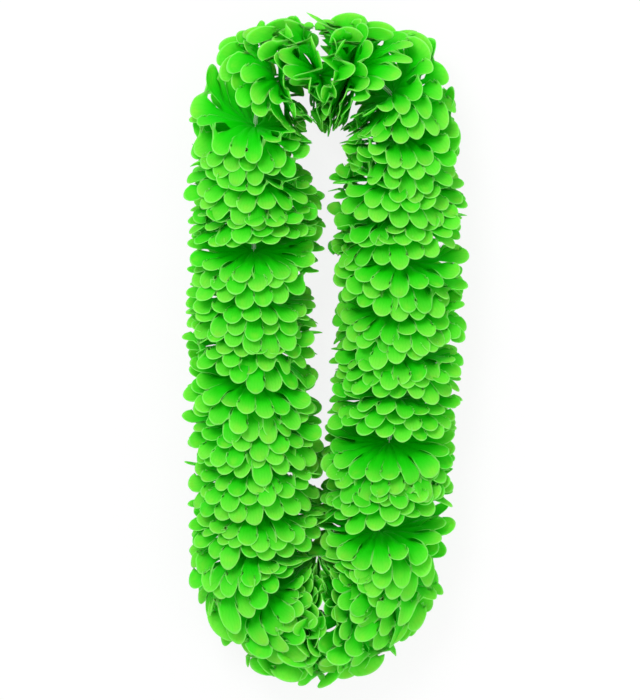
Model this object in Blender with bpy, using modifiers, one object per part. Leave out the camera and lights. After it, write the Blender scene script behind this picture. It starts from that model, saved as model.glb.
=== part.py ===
"""An artificial flower lei lying flat: flowers of three petal discs on one thread, with clear spacer tubes.

Metres, +Z up. The loop lies in the XY plane with its long way along Y, and it rests on z = 0. Every flower is
one solid: three petal discs pressed together at the hub, which spread apart toward their tips. Shapes are worked
out along the thread: a place on the loop, a distance out from it, and a height above it. Places on the top arc
are measured on a plain circle, from which the thread stands out at the arc's two corners.
"""

import math

import bmesh
import bpy
from mathutils import Vector

# The thread's route: a squared top arc and a round bottom arc, with two strands that bow outward between them.
TOP_CENTRE = Vector((-0.0015, 0.1510, 0.0))
TOP_RADIUS = 0.0540
TOP_SQUARENESS = 3.5
BOTTOM_CENTRE = Vector((-0.0085, -0.1545, 0.0))
BOTTOM_RADIUS = 0.0450
LEFT_BOW = 0.003
RIGHT_BOW = 0.007
THREAD_HEIGHT = 0.038
THREAD_RADIUS = 0.0005
THREAD_STEP = 0.006

# The flowers.
FLOWER_COUNT = 29
PETAL_COUNT = 18
LAYERS = (-1, 0, 1)
PETAL_REACH = 0.047
NOTCH_SHARE = 0.78
SHOULDERS = (0.25, 0.75)
SIDE_DROOP = 0.011
LEAN = 0.016
BORE_RADIUS = 0.0013
VALLEY_RADIUS = 0.0035
HUB_STEP = 0.0013
SPIN_STEP = math.radians(137.5)
HEIGHT_SHARE = 0.92
UNDERSIDE_SHARE = 0.90
WAIST = 0.07
TOP_INNER_REACH = 0.043
BOTTOM_INNER_REACH = 0.029
INNER_RAMP = 0.035

# The spacer tubes and the knot.
TUBE_RADIUS = 0.0016
TUBE_WALL = 0.0006
TUBE_SETBACK = 0.0031
KNOT_WRAPS = 3
KNOT_RADIUS = 0.0016
KNOT_PITCH = 0.0012
KNOT_STEPS = 12
KNOT_TAIL = 0.005
KNOT_ROOM = 0.0075
CURVE_BEVEL_RESOLUTION = 2


def perpendicular_left(vector):
    """The vector turned a quarter turn to the left in the XY plane."""
    return Vector((-vector.y, vector.x, 0.0))


def strand_normals():
    """The outward normals of the left and right strands, which touch both circles from outside."""
    axis = TOP_CENTRE - BOTTOM_CENTRE
    along = (BOTTOM_RADIUS - TOP_RADIUS) / axis.length
    across = math.sqrt(1.0 - along * along)
    axis.normalize()
    left = axis * along + perpendicular_left(axis) * across
    right = axis * along - perpendicular_left(axis) * across
    return left, right


LEFT_NORMAL, RIGHT_NORMAL = strand_normals()
STRAND_LENGTH = math.sqrt((TOP_CENTRE - BOTTOM_CENTRE).length_squared - (TOP_RADIUS - BOTTOM_RADIUS) ** 2)
TOP_SWEEP = LEFT_NORMAL.angle(RIGHT_NORMAL)
if LEFT_NORMAL.y + RIGHT_NORMAL.y < 0:
    TOP_SWEEP = 2 * math.pi - TOP_SWEEP
TOP_LENGTH = TOP_RADIUS * TOP_SWEEP
BOTTOM_LENGTH = BOTTOM_RADIUS * (2 * math.pi - TOP_SWEEP)
RIGHT_START = STRAND_LENGTH + TOP_LENGTH
BOTTOM_START = RIGHT_START + STRAND_LENGTH
LOOP_LENGTH = BOTTOM_START + BOTTOM_LENGTH
FLOWER_PITCH = LOOP_LENGTH / FLOWER_COUNT
DISC_PITCH = FLOWER_PITCH / len(LAYERS)


def turned(normal, angle):
    """The normal turned clockwise by the angle."""
    return Vector(
        (
            normal.x * math.cos(angle) + normal.y * math.sin(angle),
            normal.y * math.cos(angle) - normal.x * math.sin(angle),
            0.0,
        )
    )


def middle_of_strand(place):
    """1 half way along a strand, falling smoothly to 0 at its ends and on the two arcs."""
    place %= LOOP_LENGTH
    if place < STRAND_LENGTH:
        share = place / STRAND_LENGTH
    elif RIGHT_START < place < BOTTOM_START:
        share = (place - RIGHT_START) / STRAND_LENGTH
    else:
        return 0.0
    return math.sin(math.pi * share) ** 2


def outward(place):
    """The way out of the loop at a place, which is also how the flower there is turned."""
    place %= LOOP_LENGTH
    if place < STRAND_LENGTH:
        return LEFT_NORMAL.copy()
    if place < RIGHT_START:
        return turned(LEFT_NORMAL, (place - STRAND_LENGTH) / TOP_RADIUS)
    if place < BOTTOM_START:
        return RIGHT_NORMAL.copy()
    return turned(RIGHT_NORMAL, (place - BOTTOM_START) / BOTTOM_RADIUS)


def squared_radius(place):
    """How far the thread is from the top centre on the top arc, which has two rounded corners."""
    angle = math.pi * (place - STRAND_LENGTH) / TOP_LENGTH
    power = TOP_SQUARENESS
    return TOP_RADIUS / (abs(math.cos(angle)) ** power + abs(math.sin(angle)) ** power) ** (1 / power)


def route_point(place):
    """The point of the thread at a distance along the loop, which starts at the foot of the left strand."""
    place %= LOOP_LENGTH
    out = outward(place)
    if STRAND_LENGTH <= place < RIGHT_START:
        return TOP_CENTRE + out * squared_radius(place)
    if place >= BOTTOM_START:
        return BOTTOM_CENTRE + out * BOTTOM_RADIUS
    on_left = place < STRAND_LENGTH
    share = place / STRAND_LENGTH if on_left else 1.0 - (place - RIGHT_START) / STRAND_LENGTH
    bow = LEFT_BOW if on_left else RIGHT_BOW
    base = BOTTOM_CENTRE + out * BOTTOM_RADIUS
    top = TOP_CENTRE + out * TOP_RADIUS
    return base.lerp(top, share) + out * bow * middle_of_strand(place)


def direction(place):
    """The way that the thread runs: up the left strand, over the top and down the right strand."""
    step = 0.0005
    return (route_point(place + step) - route_point(place - step)).normalized()


def in_space(place, out, up):
    """The point at a place on the thread, so far out from the loop's inside and so far above the thread."""
    return route_point(place) + outward(place) * out + Vector((0.0, 0.0, THREAD_HEIGHT + up))


def hub_place(number):
    """Where a flower sits on the loop. The last one sits at the foot of the left strand."""
    return (number + 1) * FLOWER_PITCH


def share_of_arc(place, start, length):
    """1 on the arc, falling smoothly to 0 on the strands at both its ends."""
    from_middle = abs((place - start - length / 2 + LOOP_LENGTH / 2) % LOOP_LENGTH - LOOP_LENGTH / 2)
    share = 1.0 - (from_middle - length / 2) / INNER_RAMP
    share = min(max(share, 0.0), 1.0)
    return share * share * (3.0 - 2.0 * share)


def inner_share(place):
    """How much of its reach a petal keeps on the inside of the loop, where the arcs leave less room."""
    top = (1.0 - TOP_INNER_REACH / PETAL_REACH) * share_of_arc(place, STRAND_LENGTH, TOP_LENGTH)
    bottom = (1.0 - BOTTOM_INNER_REACH / PETAL_REACH) * share_of_arc(place, BOTTOM_START, BOTTOM_LENGTH)
    return 1.0 - top - bottom


def section_point(place, angle, reach):
    """Out and up for an angle round the thread: a circle, lower on top, flat underneath, drawn in inside."""
    reach *= 1.0 - WAIST * middle_of_strand(place)
    out = reach * math.cos(angle)
    up = reach * math.sin(angle)
    if out < 0:
        out *= inner_share(place)
    up *= HEIGHT_SHARE if up > 0 else UNDERSIDE_SHARE
    return out, max(up, -THREAD_HEIGHT)


def petal_point(hub_place, layer, angle, reach):
    """A point of a disc: the discs spread apart away from the thread, and lean with their tops to -Y."""
    nominal = hub_place + layer * DISC_PITCH
    out, up = section_point(nominal, angle, reach)
    share = max(math.hypot(out, up) - BORE_RADIUS, 0.0) / (PETAL_REACH - BORE_RADIUS)
    spread = layer * (DISC_PITCH * share + HUB_STEP * (1.0 - share))
    climb = -outward(nominal).x
    droop = -climb * (SIDE_DROOP + LEAN * math.sin(angle)) * share
    return in_space(hub_place + spread + droop, out, up)


def ring(mesh, origin, points):
    """One closed ring of new vertices, measured from the origin."""
    return [mesh.verts.new(point - origin) for point in points]


def skin_to_rim(mesh, inner, rim):
    """Faces from a round ring to a petalled rim that has a notch and two shoulders for each inner vertex."""
    for petal, root in enumerate(inner):
        next_root = inner[(petal + 1) % PETAL_COUNT]
        notch, first, second = rim[3 * petal : 3 * petal + 3]
        next_notch = rim[(3 * petal + 3) % len(rim)]
        mesh.faces.new((root, notch, first))
        mesh.faces.new((root, first, second))
        mesh.faces.new((root, second, next_root))
        mesh.faces.new((next_root, second, next_notch))


def flower_mesh(name, hub_place, spin):
    """A flower: three petalled discs in one closed solid with a bore for the thread."""
    mesh = bmesh.new()
    origin = in_space(hub_place, 0.0, 0.0)
    petal_angle = 2 * math.pi / PETAL_COUNT
    roots = [spin + petal * petal_angle for petal in range(PETAL_COUNT)]

    def round_ring(level, radius):
        return ring(mesh, origin, [petal_point(hub_place, level, angle, radius) for angle in roots])

    def petalled_ring(layer):
        points = []
        for angle in roots:
            points.append(petal_point(hub_place, layer, angle, PETAL_REACH * NOTCH_SHARE))
            for shoulder in SHOULDERS:
                points.append(petal_point(hub_place, layer, angle + shoulder * petal_angle, PETAL_REACH))
        return ring(mesh, origin, points)

    first_bore = round_ring(LAYERS[0] - 0.5, BORE_RADIUS)
    last_bore = round_ring(LAYERS[-1] + 0.5, BORE_RADIUS)
    below = first_bore
    for layer in LAYERS:
        rim = petalled_ring(layer)
        above = last_bore if layer == LAYERS[-1] else round_ring(layer + 0.5, VALLEY_RADIUS)
        skin_to_rim(mesh, below, rim)
        skin_to_rim(mesh, above, rim)
        below = above
    for petal in range(PETAL_COUNT):
        after = (petal + 1) % PETAL_COUNT
        mesh.faces.new((first_bore[petal], first_bore[after], last_bore[after], last_bore[petal]))
    bmesh.ops.triangulate(mesh, faces=mesh.faces[:])
    bmesh.ops.recalc_face_normals(mesh, faces=mesh.faces[:])
    data = bpy.data.meshes.new(name)
    mesh.to_mesh(data)
    mesh.free()
    return data, origin


def places_between(start, end):
    """Places from start to end, a thread step or less apart, and only the ends on a straight stretch."""
    turn = direction(start).angle(direction(end))
    count = 1 if turn < math.radians(1.0) else math.ceil((end - start) / THREAD_STEP)
    return [start + (end - start) * step / count for step in range(count + 1)]


def curve_object(name, points, radius, closed, capped):
    """A round thread or tube along straight steps between the points."""
    curve = bpy.data.curves.new(name, "CURVE")
    curve.dimensions = "3D"
    curve.bevel_depth = radius
    curve.bevel_resolution = CURVE_BEVEL_RESOLUTION
    curve.use_fill_caps = capped
    spline = curve.splines.new("POLY")
    spline.points.add(len(points) - 1)
    origin = points[0]
    for slot, point in zip(spline.points, points):
        slot.co = (*(point - origin), 1.0)
    spline.use_cyclic_u = closed
    piece = bpy.data.objects.new(name, curve)
    piece.location = origin
    return piece


def make_material(name, colour, roughness, alpha=1.0):
    """A plain material of one colour."""
    material = bpy.data.materials.new(name)
    material.use_nodes = True
    shader = material.node_tree.nodes["Principled BSDF"]
    shader.inputs["Base Color"].default_value = (*colour, 1.0)
    shader.inputs["Roughness"].default_value = roughness
    shader.inputs["Metallic"].default_value = 0.0
    shader.inputs["Alpha"].default_value = alpha
    material.diffuse_color = (*colour, alpha)
    return material


def make_flowers(material):
    """All the flowers, evenly spaced along the loop and each turned a little further on the thread."""
    flowers = []
    for number in range(FLOWER_COUNT):
        name = f"flower_{number + 1:02d}"
        data, origin = flower_mesh(name, hub_place(number), number * SPIN_STEP)
        data.materials.append(material)
        flower = bpy.data.objects.new(name, data)
        flower.location = origin
        flowers.append(flower)
    return flowers


def make_tubes(material):
    """A spacer tube between every two flowers. The last one is shorter, because the knot lies beside it."""
    tubes = []
    for number in range(FLOWER_COUNT):
        start = hub_place(number) + TUBE_SETBACK
        end = hub_place(number + 1) - TUBE_SETBACK
        if number == FLOWER_COUNT - 1:
            start += KNOT_ROOM
        points = [in_space(place, 0.0, 0.0) for place in places_between(start, end)]
        tube = curve_object(f"spacer_tube_{number + 1:02d}", points, TUBE_RADIUS, closed=False, capped=False)
        wall = tube.modifiers.new("wall", "SOLIDIFY")
        wall.thickness = TUBE_WALL
        wall.offset = -1.0
        wall.use_rim = True
        tube.data.materials.append(material)
        tubes.append(tube)
    return tubes


def make_thread(material):
    """The thread that carries everything, one closed loop through every bore and tube."""
    points = []
    for number in range(FLOWER_COUNT):
        places = places_between(hub_place(number), hub_place(number + 1))
        points += [in_space(place, 0.0, 0.0) for place in places[:-1]]
    thread = curve_object("stringing_thread", points, THREAD_RADIUS, closed=True, capped=False)
    thread.data.materials.append(material)
    return thread


def make_knot(material):
    """The wraps of the thread's own end that tie the loop shut, with a short tail."""
    start = hub_place(FLOWER_COUNT - 1) + TUBE_SETBACK + 2 * THREAD_RADIUS
    points = []
    for step in range(KNOT_WRAPS * KNOT_STEPS + 1):
        angle = 2 * math.pi * step / KNOT_STEPS
        place = start + KNOT_PITCH * step / KNOT_STEPS
        points.append(in_space(place, KNOT_RADIUS * math.cos(angle), KNOT_RADIUS * math.sin(angle)))
    tail_place = start + KNOT_PITCH * KNOT_WRAPS
    points.append(in_space(tail_place, KNOT_RADIUS + KNOT_TAIL * 0.1, KNOT_TAIL * 0.4))
    points.append(in_space(tail_place, KNOT_RADIUS + KNOT_TAIL * 0.4, KNOT_TAIL))
    knot = curve_object("thread_knot", points, THREAD_RADIUS, closed=False, capped=True)
    knot.data.materials.append(material)
    return knot


def rest_on_origin(flowers, root):
    """Moves the whole lei so that the bottom centre of its box lies on the origin."""
    corners = [flower.location + vertex.co for flower in flowers for vertex in flower.data.vertices]
    middle = [(min(c[axis] for c in corners) + max(c[axis] for c in corners)) / 2 for axis in (0, 1)]
    floor = min(corner.z for corner in corners)
    root.location = (-middle[0], -middle[1], -floor)


def main():
    """Builds the lei in its own collection, under one empty."""
    for leftover in list(bpy.data.objects):
        bpy.data.objects.remove(leftover)
    petal_fabric = make_material("petal_fabric", (0.045, 0.68, 0.022), 0.75)
    clear_plastic = make_material("clear_plastic", (0.86, 0.93, 0.86), 0.12, alpha=0.35)
    thread_fibre = make_material("thread_fibre", (0.80, 0.86, 0.78), 0.60)
    collection = bpy.data.collections.new("flower_lei")
    bpy.context.scene.collection.children.link(collection)
    root = bpy.data.objects.new("lei", None)
    collection.objects.link(root)
    flowers = make_flowers(petal_fabric)
    pieces = flowers + make_tubes(clear_plastic) + [make_thread(thread_fibre), make_knot(thread_fibre)]
    for piece in pieces:
        piece.parent = root
        collection.objects.link(piece)
    rest_on_origin(flowers, root)


main()
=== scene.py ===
"""The looks of an artificial flower lei that lies in a long loop: die-cut, cupped petal discs in lime green
polyester, strung three to a flower on a twisted thread, with clear spacer tubes between the flowers.

Everything is in metres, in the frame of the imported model. Shapes are worked out along the thread, as a place on the
loop, a distance out from it and a height above it, and then bent round the loop.
"""

import logging
import math
from dataclasses import dataclass, field
from enum import Enum

import bpy
import numpy as np
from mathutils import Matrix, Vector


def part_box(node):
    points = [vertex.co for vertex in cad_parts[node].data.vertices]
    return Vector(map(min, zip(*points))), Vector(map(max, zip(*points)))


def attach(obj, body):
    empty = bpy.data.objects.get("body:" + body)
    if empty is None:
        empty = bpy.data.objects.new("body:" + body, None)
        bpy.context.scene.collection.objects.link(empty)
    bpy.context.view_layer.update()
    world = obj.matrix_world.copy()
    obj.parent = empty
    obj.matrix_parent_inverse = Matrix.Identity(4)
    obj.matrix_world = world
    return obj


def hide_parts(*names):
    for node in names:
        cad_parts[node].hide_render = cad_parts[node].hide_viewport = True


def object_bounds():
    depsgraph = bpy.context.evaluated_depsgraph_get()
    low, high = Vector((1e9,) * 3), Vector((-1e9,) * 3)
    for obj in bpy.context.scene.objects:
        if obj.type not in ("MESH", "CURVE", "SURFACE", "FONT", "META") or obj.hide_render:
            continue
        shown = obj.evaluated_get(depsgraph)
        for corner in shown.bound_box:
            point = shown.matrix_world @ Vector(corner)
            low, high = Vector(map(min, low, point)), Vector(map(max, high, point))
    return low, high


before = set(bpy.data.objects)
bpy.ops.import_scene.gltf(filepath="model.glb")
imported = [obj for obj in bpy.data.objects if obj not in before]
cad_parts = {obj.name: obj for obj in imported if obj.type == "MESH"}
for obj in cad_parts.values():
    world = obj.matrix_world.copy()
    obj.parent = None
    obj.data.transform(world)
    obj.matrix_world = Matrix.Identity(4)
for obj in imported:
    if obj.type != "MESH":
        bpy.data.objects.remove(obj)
CAD_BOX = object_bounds()
BODY = "root"
LOG = logging.getLogger("flower_lei")


class Slot(Enum):
    """The material slots that the record names."""

    PETALS = "petal_fabric"
    TUBES = "clear_plastic"
    THREAD = "thread_fibre"


# ---------------------------------------------------------------------------------------------------------------------
# Shader maths
# ---------------------------------------------------------------------------------------------------------------------


class Value:
    """A number at a shader socket, which takes part in Python sums."""

    def __init__(self, paint: "Paint", socket: bpy.types.NodeSocket) -> None:
        """Keeps the paint that the socket belongs to.

        Args:
            paint: the material being made.
            socket: an output that holds a number or a vector.
        """
        self.paint = paint
        self.socket = socket

    def maths(self, operation: str, *others: "Value | float") -> "Value":
        """Adds one Math node.

        Args:
            operation: the Math node's operation.
            others: the second and third values.

        Returns:
            The node's result.
        """
        return self.paint.node("ShaderNodeMath", {"operation": operation}, (self, *others))

    def __add__(self, other: "Value | float") -> "Value":
        """The sum."""
        return self.maths("ADD", other)

    def __radd__(self, other: float) -> "Value":
        """The sum, from the right."""
        return self.maths("ADD", other)

    def __sub__(self, other: "Value | float") -> "Value":
        """The difference."""
        return self.maths("SUBTRACT", other)

    def __rsub__(self, other: float) -> "Value":
        """The difference, from the right."""
        return self.paint.node("ShaderNodeMath", {"operation": "SUBTRACT"}, (other, self))

    def __mul__(self, other: "Value | float") -> "Value":
        """The product."""
        return self.maths("MULTIPLY", other)

    def __rmul__(self, other: float) -> "Value":
        """The product, from the right."""
        return self.maths("MULTIPLY", other)

    def absolute(self) -> "Value":
        """The value without its sign."""
        return self.maths("ABSOLUTE")

    def sine(self) -> "Value":
        """The sine of the value in radians."""
        return self.maths("SINE")

    def ramp(self, low: float, high: float) -> "Value":
        """A smooth rise from 0 at low to 1 at high.

        Args:
            low: where the rise starts.
            high: where it ends.

        Returns:
            A value from 0 to 1.
        """
        return self.paint.node(
            "ShaderNodeMapRange", {"interpolation_type": "SMOOTHSTEP"}, (self, low, high, 0.0, 1.0)
        )


class Paint:
    """One material and the nodes that are added to it."""

    def __init__(self, name: str) -> None:
        """Starts a material with a Principled shader.

        Args:
            name: the material's name.
        """
        self.material = bpy.data.materials.new(name)
        self.material.use_nodes = True
        self.tree = self.material.node_tree
        self.shader = self.tree.nodes["Principled BSDF"]
        self.output = self.tree.nodes["Material Output"]

    def node(self, kind: str, settings: dict, inputs: tuple | dict = (), output: int | str = 0) -> Value:
        """Adds a node.

        Args:
            kind: the node's type.
            settings: its own settings, set before its inputs.
            inputs: values or links, in the order of its sockets or by socket name.
            output: which of its outputs is wanted.

        Returns:
            That output.
        """
        made = self.tree.nodes.new(kind)
        for name, setting in settings.items():
            setattr(made, name, setting)
        pairs = inputs.items() if isinstance(inputs, dict) else enumerate(inputs)
        for key, given in pairs:
            self.feed(made.inputs[key], given)
        return Value(self, made.outputs[output])

    def feed(self, socket: bpy.types.NodeSocket, given: "Value | float | tuple") -> None:
        """Links a value to a socket, or sets a constant there.

        Args:
            socket: the input to feed.
            given: a value, a number or a tuple.
        """
        if isinstance(given, Value):
            self.tree.links.new(given.socket, socket)
        else:
            socket.default_value = given

    def set(self, **inputs: "Value | float | tuple") -> None:
        """Feeds the Principled shader's inputs, named with underscores for spaces.

        Args:
            inputs: the value, number or colour for each input.
        """
        for name, given in inputs.items():
            self.feed(self.shader.inputs[name.replace("_", " ")], given)

    def mix(self, factor: "Value | float", first: "Value | tuple", second: "Value | tuple") -> Value:
        """Mixes two colours.

        Args:
            factor: 0 for the first colour and 1 for the second.
            first: the first colour.
            second: the second colour.

        Returns:
            The mixed colour.
        """
        made = self.tree.nodes.new("ShaderNodeMix")
        made.data_type = "RGBA"
        self.feed(made.inputs["Factor"], factor)
        self.feed(made.inputs[6], first)
        self.feed(made.inputs[7], second)
        return Value(self, made.outputs[2])

    def noise(self, scale: float, detail: float = 3.0) -> Value:
        """Noise that is fixed to the object.

        Args:
            scale: repeats in a metre.
            detail: the number of finer layers.

        Returns:
            A value from 0 to 1.
        """
        place = self.node("ShaderNodeTexCoord", {}, (), "Object")
        return self.node("ShaderNodeTexNoise", {}, {"Vector": place, "Scale": scale, "Detail": detail})

    def attribute(self, name: str) -> Value:
        """A number that the mesh holds at its vertices.

        Args:
            name: the attribute's name.

        Returns:
            Its value.
        """
        return self.node("ShaderNodeAttribute", {"attribute_name": name}, (), "Fac")

    def bump(self, height: Value, distance: float, strength: float = 1.0) -> None:
        """Feeds a bump to the shader's normal.

        Args:
            height: the height pattern.
            distance: how deep a height of 1 is, in metres.
            strength: how strongly it shows.
        """
        normal = self.node(
            "ShaderNodeBump", {}, {"Strength": strength, "Distance": distance, "Height": height}
        )
        self.set(Normal=normal)


def opaque(colour: tuple[float, float, float]) -> tuple[float, float, float, float]:
    """The colour with an alpha of 1."""
    return (*colour, 1.0)


@dataclass(frozen=True)
class PetalFabric:
    """Stiffened polyester in lime green, pressed with fine veins. It is deeper at the root, partly dyed so and partly
    painted shade where the row above covers it, and paler toward the tip. A painted highlight runs along the cut sides
    and tips, painted shade lies in the grooves of the veins, and blotches of yellow tint on the tip centres are partly
    the fabric's own tint and partly painted highlight.
    """

    deep: tuple[float, float, float] = (0.0004, 0.60, 0.0003)
    lime: tuple[float, float, float] = (0.015, 0.69, 0.004)
    tip: tuple[float, float, float] = (0.175, 0.82, 0.050)
    # Colour of the painted highlight along the cut sides and tips.
    rim_highlight: tuple[float, float, float] = (0.340, 0.93, 0.210)
    # Yellow tint for the tip centres, partly the fabric's own tint and partly painted highlight.
    yellow_tint_and_highlight: tuple[float, float, float] = (0.270, 0.74, 0.040)
    vein_count: float = 19.0
    weave_across: float = 230.0
    weave_along: float = 820.0

    def make(self) -> bpy.types.Material:
        """Builds the material.

        Returns:
            The petal material, which reads the UV map and the tone attribute of each disc.
        """
        paint = Paint(Slot.PETALS.value)
        chart = paint.node("ShaderNodeUVMap", {"uv_map": "UVMap"})
        parts = paint.node("ShaderNodeSeparateXYZ", {}, (chart,))
        across = (Value(paint, parts.socket.node.outputs[0]) * 2.0 - 1.0)
        along = Value(paint, parts.socket.node.outputs[1])
        side = across.absolute()
        tone = paint.attribute("tone")
        blotch = paint.noise(90.0)

        # Deeper green toward the root: partly the dye's own gradient, partly painted shade where the row above covers
        # the root of each petal.
        colour = paint.mix(along.ramp(0.10, 0.80), opaque(self.deep), opaque(self.lime))
        paling = along.ramp(0.52, 0.98) * (0.50 + tone * 0.62)
        colour = paint.mix(paling, colour, opaque(self.tip))
        shade = (0.5 - tone) * 0.55 + (blotch - 0.5) * 0.5
        colour = paint.mix(shade.ramp(0.0, 0.5) * 0.55, colour, opaque(self.deep))
        wobble = paint.noise(260.0)
        wave = (across * self.vein_count + (wobble - 0.5) * 9.0).sine()
        vein_groove_and_shade = wave.ramp(0.30, 1.0) * along.ramp(0.15, 0.55)
        # Painted shade in the grooves of the pressed veins.
        colour = paint.mix(vein_groove_and_shade * 0.10, colour, opaque(self.deep))
        # Blotches of yellow tint on the tip centres, away from the sides: partly the fabric's own tint, partly a
        # painted highlight where the cupped tips face the light.
        glow = along.ramp(0.62, 0.90) * (1.0 - side.ramp(0.10, 0.75)) * blotch.ramp(0.42, 0.68)
        colour = paint.mix(glow * 0.42, colour, opaque(self.yellow_tint_and_highlight))
        # Painted highlight: a thin pale line along the cut sides of each free petal and round its tip.
        cut = side.ramp(0.84, 1.0) * along.ramp(0.42, 0.60)
        cut = cut + along.ramp(0.93, 1.0) * (1.0 - cut)
        colour = paint.mix(cut * 0.55, colour, opaque(self.rim_highlight))

        warp = (across * self.weave_across).sine()
        weft = (along * self.weave_along).sine()
        weave = warp * weft * 0.5 + 0.5
        height = weave * 0.16 + (1.0 - vein_groove_and_shade) * 0.25 + blotch * 0.4
        paint.set(
            Base_Color=colour,
            Roughness=0.50 + blotch * 0.22,
            Metallic=0.0,
            Specular_IOR_Level=0.08,
            Subsurface_Weight=0.40,
            Subsurface_Radius=(0.10, 1.0, 0.06),
            Subsurface_Scale=0.003,
        )
        paint.bump(height, 0.00016, 0.9)
        return paint.material


@dataclass(frozen=True)
class ClearPlastic:
    """Thin clear tube, a little milky, with fine lines from drawing it. Its green tint is a painted reflection of the
    petals round it.
    """

    # The green tint is a painted reflection of the green petals round the tube.
    colour: tuple[float, float, float] = (0.80, 0.95, 0.78)

    def make(self) -> bpy.types.Material:
        """Builds the material.

        Returns:
            The clear plastic.
        """
        paint = Paint(Slot.TUBES.value)
        haze = paint.noise(700.0)
        facing = paint.node("ShaderNodeLayerWeight", {}, {"Blend": 0.50}, "Facing")
        paint.set(
            Base_Color=paint.mix(haze, opaque(self.colour), (0.93, 1.0, 0.90, 1.0)),
            Roughness=0.10 + haze * 0.18,
            Alpha=0.16 + facing.ramp(0.35, 0.95) * 0.76,
            IOR=1.49,
        )
        paint.bump(haze, 0.00005)
        return paint.material


@dataclass(frozen=True)
class ThreadFibre:
    """Two-ply spun polyester thread with fine fibres along its twist."""

    colour: tuple[float, float, float] = (0.70, 0.84, 0.64)
    shadow: tuple[float, float, float] = (0.38, 0.55, 0.34)

    def make(self) -> bpy.types.Material:
        """Builds the material.

        Returns:
            The thread material.
        """
        paint = Paint(Slot.THREAD.value)
        fibre = paint.noise(2600.0)
        paint.set(
            Base_Color=paint.mix(fibre.ramp(0.35, 0.7), opaque(self.shadow), opaque(self.colour)),
            Roughness=0.55 + fibre * 0.25,
            Sheen_Weight=0.3,
        )
        paint.bump(fibre, 0.00008)
        return paint.material


# ---------------------------------------------------------------------------------------------------------------------
# The thread's route and the room round it
# ---------------------------------------------------------------------------------------------------------------------


def smooth(share: np.ndarray) -> np.ndarray:
    """A smooth rise from 0 to 1 as the share goes from 0 to 1."""
    share = np.clip(share, 0.0, 1.0)
    return share * share * (3.0 - 2.0 * share)


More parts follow.
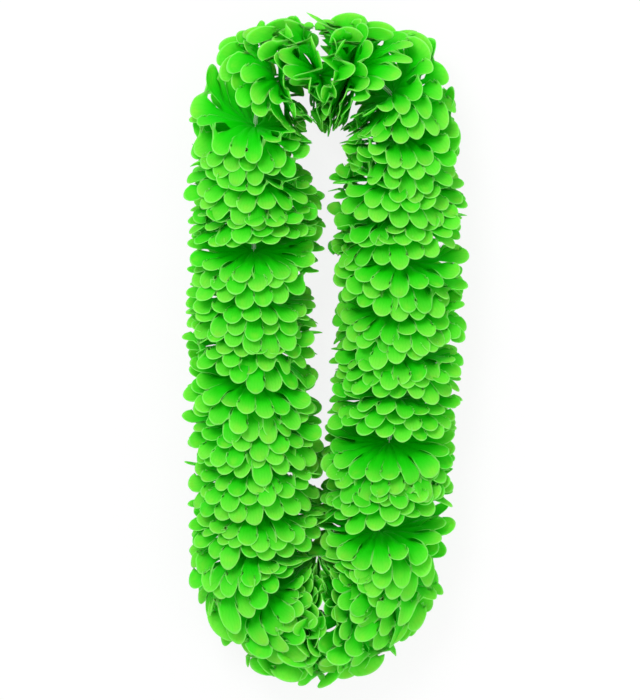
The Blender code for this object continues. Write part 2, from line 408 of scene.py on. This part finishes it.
@dataclass
class Route:
    """The thread's way: a squared top arc and a round bottom arc, with two strands that bow outward between them.

    Places on the top arc are measured on a plain circle, from which the thread stands out at two corners.
    """

    top_centre: tuple[float, float] = (-0.0015, 0.1510)
    top_radius: float = 0.0540
    squareness: float = 3.5
    bottom_centre: tuple[float, float] = (-0.0085, -0.1545)
    bottom_radius: float = 0.0450
    left_bow: float = 0.003
    right_bow: float = 0.007
    samples: int = 2000

    def __post_init__(self) -> None:
        """Works out the strands' normals and the lengths of the stretches, then fits the loop to the frame."""
        self.top, self.bottom = np.array(self.top_centre), np.array(self.bottom_centre)
        apart = float(np.linalg.norm(self.top - self.bottom))
        axis = (self.top - self.bottom) / apart
        left = np.array((-axis[1], axis[0]))
        along = (self.bottom_radius - self.top_radius) / apart
        aside = math.sqrt(1.0 - along * along)
        self.left_normal = axis * along + left * aside
        self.right_normal = axis * along - left * aside
        self.strand = math.sqrt(apart**2 - (self.top_radius - self.bottom_radius) ** 2)
        sweep = 2.0 * math.pi - math.acos(float(self.left_normal @ self.right_normal))
        self.top_arc = self.top_radius * sweep
        self.bottom_arc = self.bottom_radius * (2.0 * math.pi - sweep)
        self.right_start = self.strand + self.top_arc
        self.bottom_start = self.right_start + self.strand
        self.length = self.bottom_start + self.bottom_arc
        self.shift = np.zeros(3)
        loop = self.points(np.linspace(0.0, self.length, self.samples))
        low, high = (np.array(corner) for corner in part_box("stringing_thread"))
        self.shift = (low + high) / 2.0 - (loop.min(0) + loop.max(0)) / 2.0

    def middle(self, place: np.ndarray) -> np.ndarray:
        """How near a place is to the middle of its strand.

        Args:
            place: places along the loop.

        Returns:
            1 half way along a strand, falling to 0 at its ends and on the arcs.
        """
        place = place % self.length
        left = np.where(place < self.strand, place / self.strand, 0.0)
        on_right = (place > self.right_start) & (place < self.bottom_start)
        right = np.where(on_right, (place - self.right_start) / self.strand, 0.0)
        return np.sin(np.pi * (left + right)) ** 2

    def outward(self, place: np.ndarray) -> np.ndarray:
        """The way out of the loop, which is also how the flower there is turned.

        Args:
            place: places along the loop, from the foot of the left strand upward and on clockwise.

        Returns:
            One flat unit vector for each place.
        """
        place = np.asarray(place, float) % self.length
        over_top = np.clip((place - self.strand) / self.top_radius, 0.0, self.top_arc / self.top_radius)
        round_bottom = np.clip((place - self.bottom_start) / self.bottom_radius, 0.0, None)
        turned = (over_top + round_bottom)[:, None]
        normal = self.left_normal
        crossed = np.array((normal[1], -normal[0]))
        return normal * np.cos(turned) + crossed * np.sin(turned)

    def points(self, place: np.ndarray) -> np.ndarray:
        """The thread's points.

        Args:
            place: places along the loop.

        Returns:
            One point for each place.
        """
        place = np.asarray(place, float) % self.length
        out = self.outward(place)
        on_left = place < self.strand
        on_top = (place >= self.strand) & (place < self.right_start)
        angle = np.pi * (place - self.strand) / self.top_arc
        power = self.squareness
        corner = (np.abs(np.cos(angle)) ** power + np.abs(np.sin(angle)) ** power) ** (-1.0 / power)
        upper = self.top + out * (self.top_radius * np.where(on_top, corner, 1.0))[:, None]
        lower = self.bottom + out * self.bottom_radius
        share = np.where(on_left, place / self.strand, 1.0 - (place - self.right_start) / self.strand)
        share = np.where(on_top, 1.0, np.where(place >= self.bottom_start, 0.0, share))[:, None]
        bow = np.where(on_left, self.left_bow, self.right_bow) * self.middle(place)
        flat = lower + (upper - lower) * share + out * bow[:, None]
        return np.concatenate([flat, np.zeros((len(flat), 1))], axis=1) + self.shift

    def in_space(self, place: np.ndarray, out: np.ndarray, up: np.ndarray) -> np.ndarray:
        """Points beside the thread.

        Args:
            place: places along the loop.
            out: distances away from the loop's inside.
            up: heights above the thread.

        Returns:
            The points.
        """
        points = self.points(place)
        points[:, :2] += self.outward(place) * np.asarray(out)[:, None]
        points[:, 2] += up
        return points

    def share_of_arc(self, place: np.ndarray, start: float, length: float, ramp: float = 0.035) -> np.ndarray:
        """How far a place belongs to an arc.

        Args:
            place: places along the loop.
            start: where the arc starts.
            length: how long it is.
            ramp: over what length the share falls to 0 beyond its ends.

        Returns:
            1 on the arc and 0 well away from it.
        """
        half = self.length / 2.0
        away = np.abs((place - start - length / 2.0 + half) % self.length - half)
        return smooth(1.0 - (away - length / 2.0) / ramp)


@dataclass
class Section:
    """The room that petals have round the thread: flatter underneath and drawn in on the inside of the arcs."""

    route: Route
    reach: float = 0.0505
    underside_share: float = 0.76
    waist: float = 0.05
    top_outer_share: float = 0.91
    top_inner_reach: float = 0.043
    bottom_inner_reach: float = 0.043
    floor_softness: float = 0.003

    def __post_init__(self) -> None:
        """Reads how high the thread lies."""
        self.thread_height = float(self.route.shift[2])

    def settle(self, place: np.ndarray, out: np.ndarray, up: np.ndarray) -> tuple[np.ndarray, np.ndarray]:
        """Fits free-standing petals into the room that they have.

        Args:
            place: places along the loop.
            out: distances out from the thread.
            up: heights above the thread.

        Returns:
            The new distances and heights.
        """
        route = self.route
        slim = 1.0 - self.waist * route.middle(place)
        out, up = out * slim, up * slim
        top = (1.0 - self.top_inner_reach / self.reach) * route.share_of_arc(place, route.strand, route.top_arc)
        bottom = (1.0 - self.bottom_inner_reach / self.reach) * route.share_of_arc(
            place, route.bottom_start, route.bottom_arc, 0.010
        )
        over_top = route.share_of_arc(place, route.strand, route.top_arc)
        out = np.where(out < 0.0, out * (1.0 - top - bottom), out * (1.0 - (1.0 - self.top_outer_share) * over_top))
        up = np.where(up > 0.0, up, up * self.underside_share)
        above = up + self.thread_height - self.floor_softness / 2.0
        settled = (above + np.sqrt(above**2 + self.floor_softness**2)) / 2.0
        return out, settled - self.thread_height


# ---------------------------------------------------------------------------------------------------------------------
# Mesh helpers
# ---------------------------------------------------------------------------------------------------------------------


def deselect() -> None:
    """Leaves nothing selected."""
    bpy.ops.object.select_all(action="DESELECT")


def only(piece: bpy.types.Object) -> None:
    """Makes one piece the selected and active one.

    Args:
        piece: the piece.
    """
    deselect()
    piece.select_set(True)
    bpy.context.view_layer.objects.active = piece


def coordinates(mesh: bpy.types.Mesh) -> np.ndarray:
    """The mesh's vertex places.

    Args:
        mesh: the mesh.

    Returns:
        An array with one row for each vertex.
    """
    flat = np.empty(len(mesh.vertices) * 3)
    mesh.vertices.foreach_get("co", flat)
    return flat.reshape(-1, 3)


def place_vertices(mesh: bpy.types.Mesh, points: np.ndarray) -> None:
    """Moves every vertex.

    Args:
        mesh: the mesh.
        points: the new places.
    """
    mesh.vertices.foreach_set("co", points.ravel())
    mesh.update()


def apply_modifier(piece: bpy.types.Object, kind: str, **settings: float | bool | str) -> None:
    """Adds a modifier and applies it.

    Args:
        piece: the piece, which becomes active.
        kind: the modifier's type.
        settings: the modifier's settings.
    """
    only(piece)
    modifier = piece.modifiers.new(kind.lower(), kind)
    for name, setting in settings.items():
        setattr(modifier, name, setting)
    bpy.ops.object.modifier_apply(modifier=modifier.name)


def finish_piece(piece: bpy.types.Object, material: bpy.types.Material, slot: Slot, *nodes: str) -> None:
    """Dresses a piece, rides it on the lei and lets it stand for its CAD nodes.

    Args:
        piece: the piece.
        material: its finish.
        slot: the record's slot for that finish. Not used.
        nodes: the CAD nodes that it replaces.
    """
    piece.data.materials.clear()
    piece.data.materials.append(material)
    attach(piece, BODY)
    if nodes:
        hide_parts(*nodes)
    LOG.info("%s: %d faces", piece.name, len(piece.data.polygons))


# ---------------------------------------------------------------------------------------------------------------------
# The flowers
# ---------------------------------------------------------------------------------------------------------------------


@dataclass
class DieCutDisc:
    """The flat blank that every disc is pressed from: petals round a small bore, cut apart from half way out."""

    petal_count: int = 18
    length: float = 0.0545
    bore: float = 0.0013
    slit_start: float = 0.50
    widest: float = 0.0084
    tip_bulge: float = 0.0028
    columns: int = 8
    rows: tuple[float, ...] = (0.024, 0.11, 0.24, 0.37, 0.49, 0.58, 0.67, 0.76, 0.84, 0.90, 0.955, 1.0)
    sector: float = field(init=False)

    def __post_init__(self) -> None:
        """Works out the angle that one petal takes up."""
        self.sector = 2.0 * math.pi / self.petal_count

    def half_width(self, share: np.ndarray) -> np.ndarray:
        """Half the width of a petal.

        Args:
            share: how far along the petal, from 0 at the thread to 1 at the tip.

        Returns:
            Half the width there.
        """
        full = share * self.length * math.tan(self.sector / 2.0)
        free = np.minimum(full * 0.975, self.widest)
        past = np.clip((share - 0.80) / 0.25, 0.0, 1.0)
        free = free * (1.0 - past**2.4) ** (1.0 / 2.4)
        return np.where(share > self.slit_start + 0.01, free, full)

    def build(self) -> bpy.types.Object:
        """Models one petal from a grid, spins it round the bore and merges the uncut middle.

        Returns:
            The flat blank.
        """
        deselect()
        bpy.ops.mesh.primitive_grid_add(
            x_subdivisions=self.columns, y_subdivisions=len(self.rows) - 1, size=2.0, calc_uvs=True
        )
        blank = bpy.context.object
        blank.name = "blank"
        grid = coordinates(blank.data)
        across = grid[:, 0]
        row = (grid[:, 1] + 1.0) / 2.0 * (len(self.rows) - 1)
        share = np.interp(row, range(len(self.rows)), self.rows)
        bulge = self.tip_bulge * smooth((share - 0.62) / 0.38)
        shaped = np.zeros_like(grid)
        shaped[:, 0] = share * self.length - bulge * across**2
        shaped[:, 1] = -across * self.half_width(share)
        place_vertices(blank.data, shaped)
        only(blank)
        bpy.ops.object.mode_set(mode="EDIT")
        bpy.ops.mesh.select_all(action="SELECT")
        bpy.ops.mesh.spin(
            steps=self.petal_count - 1,
            dupli=True,
            angle=self.sector * (self.petal_count - 1),
            center=(0.0, 0.0, 0.0),
            axis=(0.0, 0.0, 1.0),
        )
        bpy.ops.mesh.select_all(action="SELECT")
        bpy.ops.mesh.remove_doubles(threshold=0.00002)
        bpy.ops.mesh.normals_make_consistent(inside=False)
        bpy.ops.object.mode_set(mode="OBJECT")
        return blank


@dataclass(frozen=True)
class Lie:
    """How one flower lies: turns in degrees, slide in metres, lead in disc spacings, the rest as shares of the usual.

    The lead is how far the open discs have gone past the hub in the way that they lean.
    """

    tilt: float = 4.0
    yaw: float = 0.0
    droop: float = 1.0
    spread: float = 1.0
    slide: float = 0.0
    lead: float = 0.3


LIES = {
    1: Lie(yaw=4.0),
    3: Lie(yaw=-4.0),
    4: Lie(tilt=10.0, yaw=11.0, slide=0.001, lead=0.9),
    5: Lie(yaw=9.0, droop=0.88, slide=0.003, lead=0.0),
    6: Lie(yaw=5.0),
    7: Lie(tilt=5.0, yaw=-3.0, slide=0.003, lead=0.9),
    8: Lie(yaw=5.0, droop=0.90, slide=0.001, lead=0.1),
    10: Lie(tilt=7.0, yaw=-4.0, slide=0.001, lead=0.9),
    11: Lie(tilt=-4.0, yaw=4.0, spread=1.1, slide=0.005, lead=0.0),
    12: Lie(spread=1.15, slide=0.003, lead=-0.3),
    13: Lie(spread=1.1, slide=-0.006, lead=-0.5),
    14: Lie(tilt=5.0, spread=1.1, slide=-0.004, lead=0.0),
    15: Lie(tilt=5.0, yaw=3.0, slide=-0.006, lead=0.9),
    16: Lie(slide=-0.007),
    17: Lie(droop=0.88, slide=-0.009, lead=0.0),
    18: Lie(tilt=6.0, slide=-0.010, lead=1.0),
    19: Lie(slide=-0.006),
    20: Lie(yaw=-4.0, slide=-0.003),
    21: Lie(yaw=-8.0, droop=0.88, slide=-0.003, lead=0.0),
    22: Lie(tilt=8.0, yaw=-4.0, slide=-0.002, lead=0.9),
    23: Lie(yaw=5.0, droop=0.88, slide=-0.001, lead=0.1),
    24: Lie(tilt=6.0, yaw=5.0, slide=0.001, lead=1.0),
}


@dataclass
class Garland:
    """All the flowers: each has three discs pressed together at the hub, which open out toward their tips."""

    route: Route
    section: Section
    blank: DieCutDisc
    flower_count: int = 29
    layers: tuple[int, ...] = (-1, 0, 1)
    hub_step: float = 0.0013
    side_slope: float = math.radians(20.0)
    front_slope: float = math.radians(48.0)
    back_slope: float = math.radians(34.0)
    side_twist: float = math.radians(27.0)
    inner_upright: float = 0.75
    wing_lift: float = math.radians(38.0)
    slope_power: float = 1.45
    loose_slope: float = math.radians(32.0)
    curl: float = 0.27
    parting: float = 0.80
    fabric: float = 0.00034
    profile_steps: int = 24
    seed: int = 20

    def __post_init__(self) -> None:
        """Works out the spacing of the flowers and of the discs."""
        self.flower_pitch = self.route.length / self.flower_count
        self.disc_pitch = self.flower_pitch / len(self.layers)

    def profiles(
        self, random: np.random.Generator, rise: np.ndarray, hang: np.ndarray, lift: float
    ) -> tuple[np.ndarray, np.ndarray, np.ndarray]:
        """The side view of each petal of a disc, which bends over more and more toward its tip and curls up at it.

        Args:
            random: the disc's own random numbers.
            rise: for each petal, 1 if it points straight up, 0 sideways and -1 straight down.
            hang: for each petal, how far it hangs over, from 0 for an upright one to 1 for the usual.
            lift: by what angle the side petals stand back from that.

        Returns:
            For each petal, how far out and how far along the thread its points are, and how steep it is at them.
        """
        count = self.blank.petal_count
        steps = np.linspace(0.0, 1.0, self.profile_steps)
        tip = self.side_slope + np.where(rise > 0.0, self.front_slope, self.back_slope) * rise
        tip = tip * hang * random.normal(1.0, 0.11, count) - lift * (1.0 - np.abs(rise))
        tip = tip + (random.normal(0.0, 0.11) + random.normal(0.0, 0.11, count)) * (1.2 - np.maximum(rise, 0.0))
        tip = tip + np.maximum(0.0, 1.0 - hang / 0.9) * random.normal(0.0, self.loose_slope, count)
        curl = random.normal(self.curl, 0.20, count)
        long = self.blank.length * random.normal(1.0, 0.045, count)
        slope = tip[:, None] * steps**self.slope_power - curl[:, None] * smooth((steps - 0.76) / 0.24)
        run = np.cumsum(np.cos(slope), axis=1)
        drop = np.cumsum(np.sin(slope), axis=1)
        scale = long[:, None] / self.profile_steps
        return (run - run[:, :1]) * scale, (drop - drop[:, :1]) * scale, slope

    def pressed(self, flat: np.ndarray, number: int, layer: int, lie: Lie) -> tuple[np.ndarray, np.ndarray]:
        """Presses, cups and hangs one disc.

        Args:
            flat: the blank's vertices.
            number: the flower's number, from 1.
            layer: -1, 0 or 1.
            lie: how the flower lies.

        Returns:
            The vertices in place, and each vertex's tone.
        """
        blank, route = self.blank, self.route
        random = np.random.default_rng((self.seed, number, layer + 1))
        hub_place = number * self.flower_pitch + lie.slide
        nominal = hub_place + layer * self.disc_pitch * lie.spread
        climb = -float(route.outward(np.array([nominal]))[0, 0])
        hang = -climb * math.hypot(1.0, self.parting) / math.hypot(climb, self.parting)
        toward = math.copysign(1.0, hang)
        half_petals = len(self.layers) * number + layer
        spin = half_petals * blank.sector / 2.0 + random.normal(0.0, 0.03)
        tilt = math.radians(lie.tilt) * abs(hang) + random.normal(0.0, 0.04)
        yaw = math.radians(lie.yaw) + random.normal(0.0, 0.04)

        angle = np.arctan2(flat[:, 1], flat[:, 0])
        petal = np.round(angle / blank.sector).astype(int) % blank.petal_count
        local = angle - petal * blank.sector
        away = np.hypot(flat[:, 0], flat[:, 1])
        along = away * np.cos(local)
        aside = away * np.sin(local)
        share = along / blank.length
        free = smooth((share - blank.slit_start) / 0.35)

        count = blank.petal_count
        headings = spin + np.arange(count) * blank.sector
        on_top = float(route.share_of_arc(np.array([nominal]), route.strand, route.top_arc)[0])
        upright = 1.0 - self.inner_upright * on_top * np.maximum(-np.cos(headings), 0.0)
        lift = self.wing_lift * max(lie.lead - 0.3, 0.0)
        run, drop, slope = self.profiles(random, np.sin(headings), lie.droop * abs(hang) * upright, lift)
        loose = max(0.0, 1.0 - abs(hang))
        twist = random.normal(0.0, 0.14 + 0.40 * loose, count) * (1.0 + np.abs(np.cos(headings)))
        twist = twist - self.side_twist * np.cos(headings)
        sway = random.normal(0.0, 0.0010, count)
        cup = random.normal(1.0, 0.25, count)
        tones = random.uniform(0.0, 1.0, count)

        slot = np.clip(share, 0.0, 1.0) * (self.profile_steps - 1)
        low = np.minimum(slot.astype(int), self.profile_steps - 2)
        part = slot - low

        def read(table: np.ndarray) -> np.ndarray:
            """The table's value for each vertex's own petal and share."""
            return table[petal, low] * (1.0 - part) + table[petal, low + 1] * part

        reach, depth, steep = read(run), read(drop), read(slope)
        width = np.maximum(blank.half_width(share), 1e-5)
        across = np.clip(aside / width, -1.0, 1.0)
        drawn_in = np.clip(reach / np.maximum(along, 1e-5), 0.0, 1.0)
        pleat = np.abs(aside) * np.sqrt(np.clip(1.0 - drawn_in**2, 0.0, 1.0)) * 0.75
        dish = cup[petal] * 0.0020 * across**2 * smooth((share - 0.50) / 0.3)
        crease = 0.0003 * np.cos(np.pi * across) * smooth((share - 0.1) / 0.2)
        raised = dish + crease - pleat * (1.0 - free)
        lateral = aside * (drawn_in * (1.0 - free) + 0.97 * free)
        turn = twist[petal] * free
        lateral, raised = (
            lateral * np.cos(turn) - raised * np.sin(turn),
            lateral * np.sin(turn) + raised * np.cos(turn),
        )
        lateral = lateral + sway[petal] * free**2

        outward = reach + np.sin(steep) * raised
        depth = depth - np.cos(steep) * raised
        heading = headings[petal]
        out = outward * np.cos(heading) - lateral * np.sin(heading)
        up = outward * np.sin(heading) + lateral * np.cos(heading)
        open_share = np.hypot(out, up) / self.section.reach
        up, depth = up * math.cos(tilt) - depth * math.sin(tilt), up * math.sin(tilt) + depth * math.cos(tilt)
        out, depth = out * math.cos(yaw) + depth * math.sin(yaw), depth * math.cos(yaw) - out * math.sin(yaw)
        lead = toward * lie.lead * np.clip(up / self.section.reach, 0.0, 1.0)
        opened = (layer * lie.spread * open_share + lead) * self.disc_pitch
        spread = opened + layer * self.hub_step * (1.0 - open_share)
        out, up = self.section.settle(np.full(len(out), nominal), out, up)
        points = route.in_space(hub_place + spread + toward * depth, out, up)
        points[:, 2] = np.maximum(points[:, 2], self.fabric)
        return points, tones[petal]

    def lie_of(self, number: int) -> Lie:
        """How a flower lies.

        Args:
            number: the flower's number, from 1.

        Returns:
            Its own lie where it has one, a little different for every flower.
        """
        random = np.random.default_rng((self.seed, number))
        lie = LIES.get(number, Lie())
        return Lie(
            tilt=lie.tilt + float(random.normal(0.0, 2.0)),
            yaw=lie.yaw + float(random.normal(0.0, 5.5)),
            droop=lie.droop * float(random.normal(1.0, 0.07)),
            spread=lie.spread * float(random.uniform(0.92, 1.05)),
            slide=lie.slide + float(random.normal(0.0, 0.0008)),
            lead=lie.lead,
        )

    def build(self, material: bpy.types.Material) -> None:
        """Makes every disc from the blank, each with its own mesh.

        Args:
            material: the petal fabric.
        """
        blank = self.blank.build()
        flat = coordinates(blank.data)
        for number in range(1, self.flower_count + 1):
            lie = self.lie_of(number)
            for layer in self.layers:
                disc = bpy.data.objects.new(f"flower_{number:02d}_disc_{layer + 2}", blank.data.copy())
                bpy.context.collection.objects.link(disc)
                points, tones = self.pressed(flat, number, layer, lie)
                place_vertices(disc.data, points)
                tone = disc.data.attributes.new("tone", "FLOAT", "POINT")
                tone.data.foreach_set("value", tones)
                apply_modifier(disc, "SOLIDIFY", thickness=self.fabric, offset=0.0, use_rim=True)
                disc.data.shade_smooth()
                finish_piece(disc, material, Slot.PETALS, f"flower_{number:02d}")
        bpy.data.objects.remove(blank)


# ---------------------------------------------------------------------------------------------------------------------
# What the flowers are strung on
# ---------------------------------------------------------------------------------------------------------------------


@dataclass
class RolledSheet:
    """A grid that is rolled up along the route into a tube, or into a ring that follows the whole loop."""

    name: str
    sides: int
    steps: int

    def build(self) -> tuple[bpy.types.Object, np.ndarray, np.ndarray]:
        """Adds the flat grid.

        Returns:
            The sheet, with the angle round the tube and the share along it for each of its vertices.
        """
        deselect()
        bpy.ops.mesh.primitive_grid_add(
            x_subdivisions=self.sides, y_subdivisions=self.steps, size=2.0, calc_uvs=True
        )
        sheet = bpy.context.object
        sheet.name = self.name
        grid = coordinates(sheet.data)
        return sheet, (grid[:, 0] + 1.0) * math.pi, (grid[:, 1] + 1.0) / 2.0

    def close(self, sheet: bpy.types.Object) -> None:
        """Merges the edges that meet and turns the faces outward.

        Args:
            sheet: the sheet, rolled up.
        """
        only(sheet)
        bpy.ops.object.mode_set(mode="EDIT")
        bpy.ops.mesh.select_all(action="SELECT")
        bpy.ops.mesh.remove_doubles(threshold=0.00001)
        bpy.ops.mesh.normals_make_consistent(inside=False)
        bpy.ops.object.mode_set(mode="OBJECT")


@dataclass
class SpacerTubes:
    """A thin clear tube between every two flowers. The last one is shorter, because the knot lies beside it."""

    garland: Garland
    radius: float = 0.0016
    wall: float = 0.00030
    setback: float = 0.0031
    rounding: float = 0.00007
    sides: int = 28
    steps: int = 10
    knot_room: float = 0.0075

    def ends(self, number: int) -> tuple[float, float]:
        """Where a tube starts and ends on the loop.

        Args:
            number: the tube's number, which is that of the flower before it.

        Returns:
            The two places.
        """
        following = number % self.garland.flower_count + 1
        pitch = self.garland.flower_pitch
        start = number * pitch + self.garland.lie_of(number).slide + self.setback
        end = (number + 1) * pitch + self.garland.lie_of(following).slide - self.setback
        return start + (self.knot_room if following == 1 else 0.0), end

    def build(self, material: bpy.types.Material) -> None:
        """Makes the tubes.

        Args:
            material: the clear plastic.
        """
        route = self.garland.route
        for number in range(1, self.garland.flower_count + 1):
            roll = RolledSheet(f"tube_{number:02d}", self.sides, self.steps)
            tube, angle, share = roll.build()
            start, end = self.ends(number)
            out, up = self.radius * np.cos(angle), self.radius * np.sin(angle)
            place_vertices(tube.data, route.in_space(start + (end - start) * share, out, up))
            roll.close(tube)
            apply_modifier(tube, "SOLIDIFY", thickness=self.wall, offset=-1.0, use_rim=True)
            apply_modifier(tube, "BEVEL", width=self.rounding, segments=2, limit_method="ANGLE")
            bpy.ops.object.shade_smooth()
            finish_piece(tube, material, Slot.TUBES, f"spacer_tube_{number:02d}")


@dataclass
class TwistedThread:
    """The two-ply thread that runs through every hub and tube, each ply a closed ring."""

    route: Route
    plies: int = 2
    ply_radius: float = 0.00026
    ply_offset: float = 0.00023
    sides: int = 6
    twist: float = 0.0028
    steps_to_a_turn: int = 8

    def build(self, material: bpy.types.Material) -> None:
        """Makes the plies.

        Args:
            material: the thread's finish.
        """
        turns = round(self.route.length / self.twist)
        for ply in range(self.plies):
            roll = RolledSheet(f"thread_ply_{ply + 1}", self.sides, turns * self.steps_to_a_turn)
            ring, angle, share = roll.build()
            wound = 2.0 * math.pi * (turns * share + ply / self.plies)
            out = self.ply_offset * np.cos(wound) + self.ply_radius * np.cos(angle + wound)
            up = self.ply_offset * np.sin(wound) + self.ply_radius * np.sin(angle + wound)
            place_vertices(ring.data, self.route.in_space(share * self.route.length, out, up))
            roll.close(ring)
            bpy.ops.object.shade_smooth()
            finish_piece(ring, material, Slot.THREAD, "stringing_thread")


# ---------------------------------------------------------------------------------------------------------------------
# The stage
# ---------------------------------------------------------------------------------------------------------------------


@dataclass
class Studio:
    """The camera straight above the lei, soft lamps and a pale floor."""

    view_width: float = 0.480
    view_height: float = 0.525
    aim: tuple[float, float] = (-0.0052, -0.0040)
    camera_height: float = 1.9
    sensor: float = 36.0
    floor_side: float = 6.0

    def build(self) -> None:
        """Adds the camera, the lamps, the world and the floor."""
        scene = bpy.context.scene
        scene.view_settings.view_transform = "Standard"
        self.add_camera(scene)
        self.add_lamps()
        self.add_world(scene)
        self.add_floor()

    def add_camera(self, scene: bpy.types.Scene) -> None:
        """Adds the camera, which looks straight down.

        Args:
            scene: the scene that it is for.
        """
        lens = bpy.data.cameras.new("camera")
        lens.sensor_width = self.sensor
        middle_height = (CAD_BOX[0][2] + CAD_BOX[1][2]) / 2.0
        lens.lens = self.sensor * (self.camera_height - middle_height) / self.view_height
        lens.clip_end = 20.0
        camera = bpy.data.objects.new("camera", lens)
        camera.location = (*self.aim, self.camera_height)
        bpy.context.collection.objects.link(camera)
        scene.camera = camera

    def add_lamps(self) -> None:
        """Adds one large soft lamp above the left shoulder and a weak one across from it."""
        for name, location, power, side in (
            ("key_lamp", (-0.5, 0.9, 1.5), 14.5, 0.7),
            ("fill_lamp", (0.9, -0.7, 1.3), 5.0, 1.2),
        ):
            light = bpy.data.lights.new(name, "AREA")
            light.energy = power
            light.size = side
            lamp = bpy.data.objects.new(name, light)
            lamp.location = location
            toward = -lamp.location
            lamp.rotation_euler = toward.to_track_quat("-Z", "Y").to_euler()
            bpy.context.collection.objects.link(lamp)

    def add_world(self, scene: bpy.types.Scene) -> None:
        """Adds an even pale surround.

        Args:
            scene: the scene that it is for.
        """
        world = bpy.data.worlds.new("surround")
        world.use_nodes = True
        surround = world.node_tree.nodes["Background"]
        surround.inputs["Color"].default_value = (1.0, 1.0, 1.0, 1.0)
        surround.inputs["Strength"].default_value = 0.80
        scene.world = world

    def add_floor(self) -> None:
        """Adds the floor, which shows white and keeps a soft shadow."""
        deselect()
        bpy.ops.mesh.primitive_plane_add(size=self.floor_side, location=(0.0, 0.0, -0.0004))
        floor = bpy.context.object
        floor.name = "floor"
        paint = Paint("floor_white")
        paint.set(Base_Color=(0.90, 0.90, 0.90, 1.0), Roughness=0.9, Specular_IOR_Level=0.1)
        rays = paint.tree.nodes.new("ShaderNodeLightPath")
        seen = Value(paint, rays.outputs["Is Camera Ray"]).maths(
            "MAXIMUM", Value(paint, rays.outputs["Is Glossy Ray"])
        )
        seen = seen.maths("MAXIMUM", Value(paint, rays.outputs["Is Transmission Ray"]))
        glow = paint.tree.nodes.new("ShaderNodeEmission")
        glow.inputs["Color"].default_value = (1.0, 1.0, 1.0, 1.0)
        glow.inputs["Strength"].default_value = 1.0
        blend = paint.tree.nodes.new("ShaderNodeMixShader")
        paint.feed(blend.inputs[0], seen * 0.86)
        paint.tree.links.new(paint.shader.outputs[0], blend.inputs[1])
        paint.tree.links.new(glow.outputs[0], blend.inputs[2])
        paint.tree.links.new(blend.outputs[0], paint.output.inputs["Surface"])
        floor.data.materials.append(paint.material)


def dress_node(node: str, material: bpy.types.Material) -> None:
    """Gives a CAD node that stays its finish.

    Args:
        node: the node's name.
        material: the finish.
    """
    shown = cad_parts[node]
    shown.data.materials.clear()
    shown.data.materials.append(material)


def main() -> None:
    """Builds the stage and then the lei, part by part."""
    logging.basicConfig(level=logging.INFO, format="%(name)s: %(message)s")
    Studio().build()
    route = Route()
    section = Section(route)
    garland = Garland(route, section, DieCutDisc())
    garland.build(PetalFabric().make())
    SpacerTubes(garland).build(ClearPlastic().make())
    thread_fibre = ThreadFibre().make()
    TwistedThread(route).build(thread_fibre)
    dress_node("thread_knot", thread_fibre)


if __name__ == "__main__":
    main()
